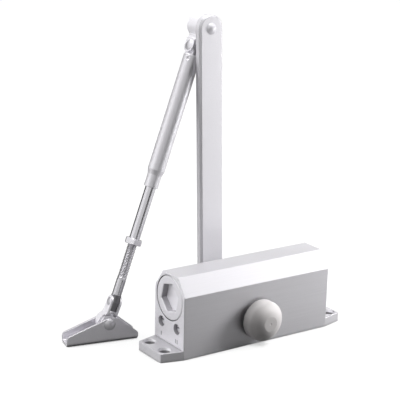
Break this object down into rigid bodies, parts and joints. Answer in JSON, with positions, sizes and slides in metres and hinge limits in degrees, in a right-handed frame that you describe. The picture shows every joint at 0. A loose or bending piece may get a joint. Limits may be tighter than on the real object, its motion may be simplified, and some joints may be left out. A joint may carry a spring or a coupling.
{
  "type": "hydraulic door closer",
  "caption": "Surface-mounted rack-and-pinion door closer: silver body with screw feet, spindle cap, jointed regular arm with threaded length adjustment and a U-shaped shoe.",
  "frame": {"origin": "centre of the body's four screw holes on its mounting face", "axes": "+X along the body away from the end with the valve screws, +Y along the spindle towards the arm, +Z away from the door leaf"},
  "size_m": [0.229, 0.1064, 0.262],
  "materials": {
    "body_silver": "satin silver coating",
    "plug_silver": "satin silver coating with bare edges",
    "arm_silver": "smooth silver paint",
    "bright_steel": "bright zinc plate",
    "cast_silver": "silver paint on a casting",
    "bearing_steel": "ground steel",
    "spring_steel": "dark drawn wire",
    "brass": "turned brass",
    "black_rubber": "black rubber",
    "cap_plastic": "warm grey moulded plastic"
  },
  "bodies": {
    "body": {"housing": "body_silver", "end_plug_left": "plug_silver", "end_plug_right": "plug_silver", "end_plug_seal_left": "black_rubber", "end_plug_seal_right": "black_rubber", "bearing_outer_ring_front": "bearing_steel", "bearing_outer_ring_rear": "bearing_steel", "bearing_balls_front": "bearing_steel", "bearing_balls_rear": "bearing_steel", "spindle_gland_front": "plug_silver", "spindle_gland_rear": "plug_silver", "spindle_seal_front": "black_rubber", "spindle_seal_rear": "black_rubber", "closing_spring": "spring_steel"},
    "spindle_and_arm": {"spindle": "bearing_steel", "bearing_inner_ring_front": "bearing_steel", "bearing_inner_ring_rear": "bearing_steel", "spindle_cap": "cap_plastic", "main_arm": "arm_silver", "arm_washer": "bright_steel", "arm_screw": "bright_steel", "elbow_rivet": "bright_steel", "elbow_washer": "bright_steel"},
    "piston": {"piston": "bearing_steel", "check_valve_ball": "bearing_steel", "check_valve_bush": "brass"},
    "closing_valve": {"closing_speed_valve": "bright_steel", "closing_speed_valve_seal": "black_rubber"},
    "latching_valve": {"latching_speed_valve": "bright_steel", "latching_speed_valve_seal": "black_rubber"},
    "elbow_knuckle": {"elbow_knuckle": "cast_silver", "elbow_cross_pin": "bright_steel"},
    "forearm": {"forearm_head": "cast_silver", "forearm_tube": "arm_silver", "spacer_sleeve": "bright_steel"},
    "lock_nut": {"lock_nut": "bright_steel"},
    "adjusting_rod": {"adjusting_rod": "bright_steel"},
    "shoe_knuckle": {"shoe_knuckle": "cast_silver", "shoe_cross_pin": "bright_steel"},
    "shoe": {"shoe_bracket": "arm_silver", "shoe_rivet": "bright_steel"}
  },
  "joints": [
    {"name": "spindle_turn", "type": "hinge", "parent": "body", "child": "spindle_and_arm", "pos_m": [0, 0, 0.022], "axis": [0, 1, 0], "range_deg": [0, 180], "stiffness_Nm_per_rad": 3, "springref_deg": -28.65},
    {"name": "piston_slide", "type": "slide", "parent": "body", "child": "piston", "axis": [1, 0, 0], "range_m": [0, 0.0315], "deforming": ["closing_spring"]},
    {"name": "elbow_pivot", "type": "hinge", "parent": "spindle_and_arm", "child": "elbow_knuckle", "pos_m": [-0.00798, 0.0582, 0.25056], "axis": [0, 1, 0], "range_deg": [0, 140]},
    {"name": "elbow_tilt", "type": "hinge", "parent": "elbow_knuckle", "child": "forearm", "pos_m": [-0.01451, 0.0572, 0.23411], "axis": [0.9296, 0, -0.3686], "range_deg": [0, 20]},
    {"name": "rod_adjust", "type": "slide", "parent": "forearm", "child": "adjusting_rod", "axis": [-0.3683, -0.0405, -0.9288], "range_m": [-0.024, 0.014]},
    {"name": "lock_nut_turn", "type": "hinge", "parent": "forearm", "child": "lock_nut", "pos_m": [-0.01451, 0.0572, 0.23411], "axis": [-0.3683, -0.0405, -0.9288], "continuous": true},
    {"name": "shoe_tilt", "type": "hinge", "parent": "adjusting_rod", "child": "shoe_knuckle", "pos_m": [-0.09491, 0.04836, 0.03136], "axis": [0.916, -0.1864, -0.3552], "range_deg": [-20, 20]},
    {"name": "shoe_pivot", "type": "hinge", "parent": "shoe_knuckle", "child": "shoe", "pos_m": [-0.101, 0.0496, 0.015], "axis": [0.1994, 0.9799, 0], "range_deg": [-54, 95]},
    {"name": "closing_valve_turn", "type": "hinge", "parent": "body", "child": "closing_valve", "pos_m": [-0.0697, 0.0111, 0.023], "axis": [1, 0, 0], "range_deg": [-90, 360]},
    {"name": "latching_valve_turn", "type": "hinge", "parent": "body", "child": "latching_valve", "pos_m": [-0.0697, -0.0111, 0.023], "axis": [1, 0, 0], "range_deg": [-90, 360]}
  ],
  "couplings": [
    {"joint": "piston_slide", "follows": "spindle_turn", "m_per_rad": 0.01}
  ]
}
